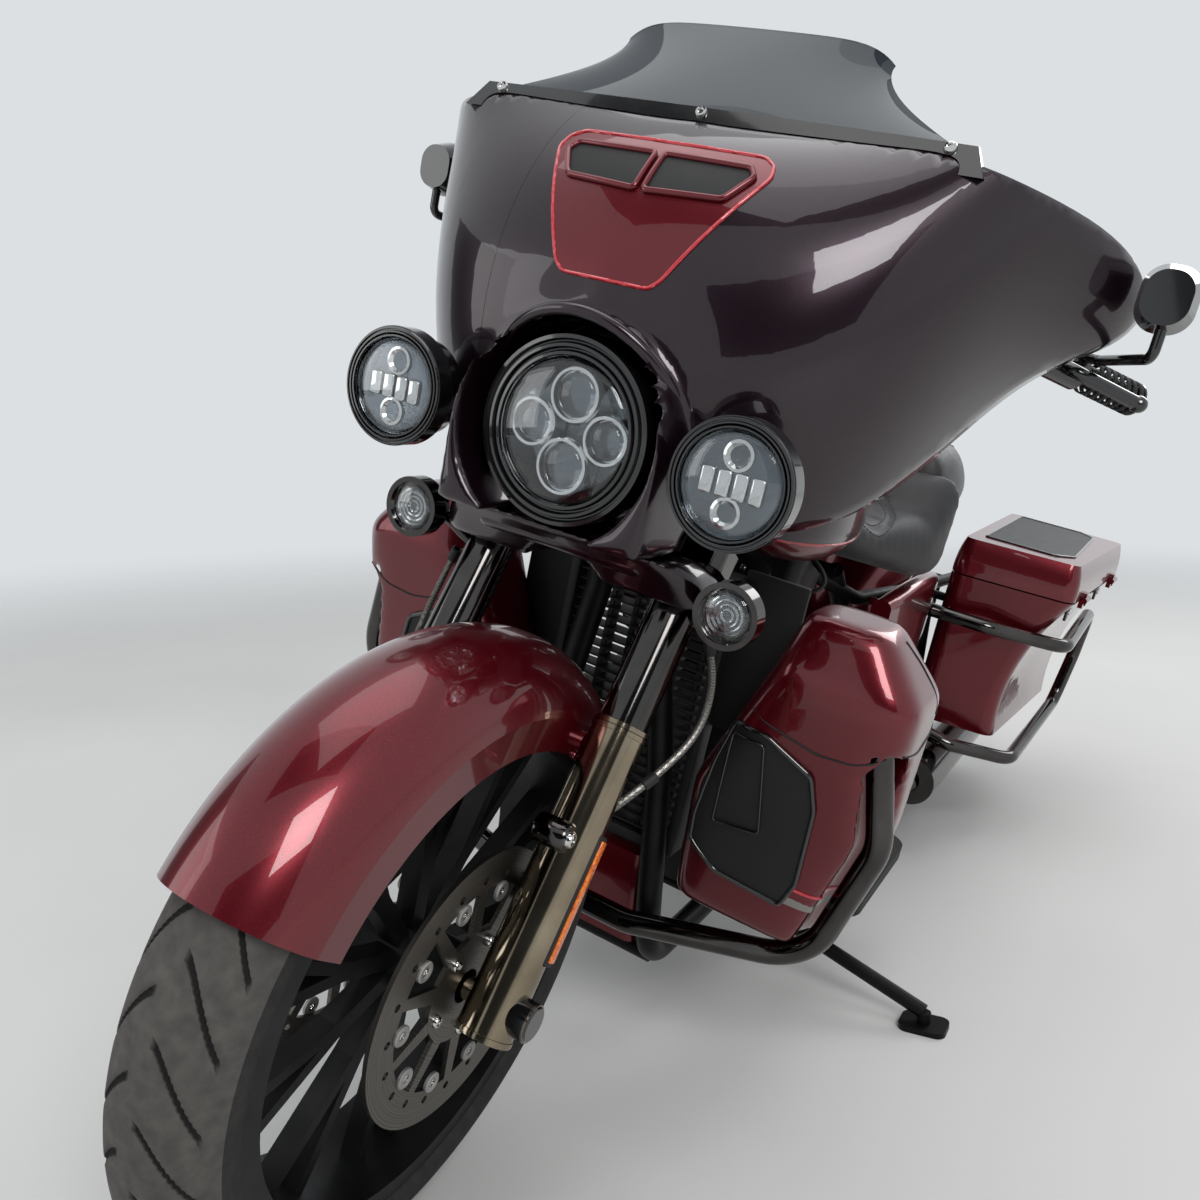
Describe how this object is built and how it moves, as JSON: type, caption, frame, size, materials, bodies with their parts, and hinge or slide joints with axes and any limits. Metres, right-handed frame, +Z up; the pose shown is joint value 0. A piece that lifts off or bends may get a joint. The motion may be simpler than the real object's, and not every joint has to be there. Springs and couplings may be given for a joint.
{
  "type": "touring cruiser motorcycle",
  "caption": "Touring cruiser motorcycle with a fork-mounted fairing, low screen, lower fairings, side bags and V-twin engine, leaning on its side stand.",
  "frame": {"origin": "on the ground under the middle of the leaning machine's bounding box", "axes": "+Z up from the ground, -Y forward, +X to the machine's left; the machine leans to +X on its stand"},
  "size_m": [1.1375, 2.3879, 1.3414],
  "materials": {
    "black_paint": "satin",
    "board_rubber": "ribbed",
    "bronze_chrome": "warm mirror",
    "cast_alloy": "satin black",
    "cherry_paint": "deep gloss metallic",
    "dark_chrome": "dark mirror",
    "dark_paint": "deep gloss metallic",
    "disc_steel": "turned",
    "gloss_black": "gloss",
    "matte_black": "fine grain",
    "red_lens": "gloss",
    "seat_cover": "grained",
    "smoked_screen": "smoked",
    "tyre_rubber": "worn"
  },
  "bodies": {
    "chassis": {"frame": "black_paint", "swingarm": "black_paint", "crankcase": "cast_alloy", "primary_cover": "gloss_black", "cylinders": "cast_alloy", "exhaust": "dark_chrome", "fuel_tank": "cherry_paint", "tank_console": "gloss_black", "rider_seat": "seat_cover", "pillion_seat": "seat_cover", "side_covers": "cherry_paint", "rear_fender": "cherry_paint", "saddlebags": "cherry_paint", "bag_guards": "dark_chrome", "engine_guard": "dark_chrome", "lowers": "cherry_paint", "chin_cover": "cherry_paint", "air_cleaner": "gloss_black", "footboards": "board_rubber", "tail_lamp": "red_lens", "final_belt": "board_rubber"},
    "steering": {"fork_sliders": "bronze_chrome", "fork_uppers": "dark_chrome", "front_fender": "cherry_paint", "fairing_outer": "dark_paint", "fairing_inner": "matte_black", "windshield": "smoked_screen", "windshield_trim": "gloss_black", "headlamp": "gloss_black", "aux_lamps": "gloss_black", "turn_signals": "dark_chrome", "nacelle_skirt": "dark_paint", "handlebar": "black_paint", "hand_controls": "gloss_black", "mirrors": "gloss_black", "front_calipers": "black_paint"},
    "front_wheel": {"front_tyre": "tyre_rubber", "front_rim": "cast_alloy", "front_rotors": "disc_steel"},
    "rear_wheel": {"rear_tyre": "tyre_rubber", "rear_rim": "cast_alloy", "rear_discs": "disc_steel"},
    "side_stand": {"side_stand": "black_paint"},
    "lid_left": {"lid_left": "cherry_paint"},
    "lid_right": {"lid_right": "cherry_paint"},
    "fuel_door": {"fuel_door": "gloss_black"}
  },
  "joints": [
    {"name": "steering_turn", "type": "hinge", "parent": "chassis", "child": "steering", "pos_m": [0.00187, -0.59828, 0.8352], "axis": [0.2235, 0.4379, 0.8708], "range_deg": [-32, 32]},
    {"name": "front_wheel_spin", "type": "hinge", "parent": "steering", "child": "front_wheel", "pos_m": [-0.1262, -0.84919, 0.33624], "axis": [0.9686, 0.0001, -0.2487], "continuous": true},
    {"name": "rear_wheel_spin", "type": "hinge", "parent": "chassis", "child": "rear_wheel", "pos_m": [-0.13043, 0.77582, 0.32068], "axis": [0.9686, 0.0001, -0.2487], "continuous": true},
    {"name": "stand_fold", "type": "hinge", "parent": "chassis", "child": "side_stand", "pos_m": [-0.01425, -0.12907, 0.12928], "axis": [0.2487, -0.0005, 0.9686], "range_deg": [0, 92]},
    {"name": "lid_left_open", "type": "hinge", "parent": "chassis", "child": "lid_left", "pos_m": [0.39597, 0.89016, 0.50926], "axis": [0.0678, 0.9976, -0.0168], "range_deg": [0, 70]},
    {"name": "lid_right_open", "type": "hinge", "parent": "chassis", "child": "lid_right", "pos_m": [-0.5009, 0.89003, 0.73953], "axis": [0.0678, -0.9975, -0.018], "range_deg": [0, 70]},
    {"name": "fuel_door_open", "type": "hinge", "parent": "chassis", "child": "fuel_door", "pos_m": [0.02923, -0.27653, 0.94192], "axis": [0.9686, 0.0001, -0.2487], "range_deg": [0, 95]}
  ]
}
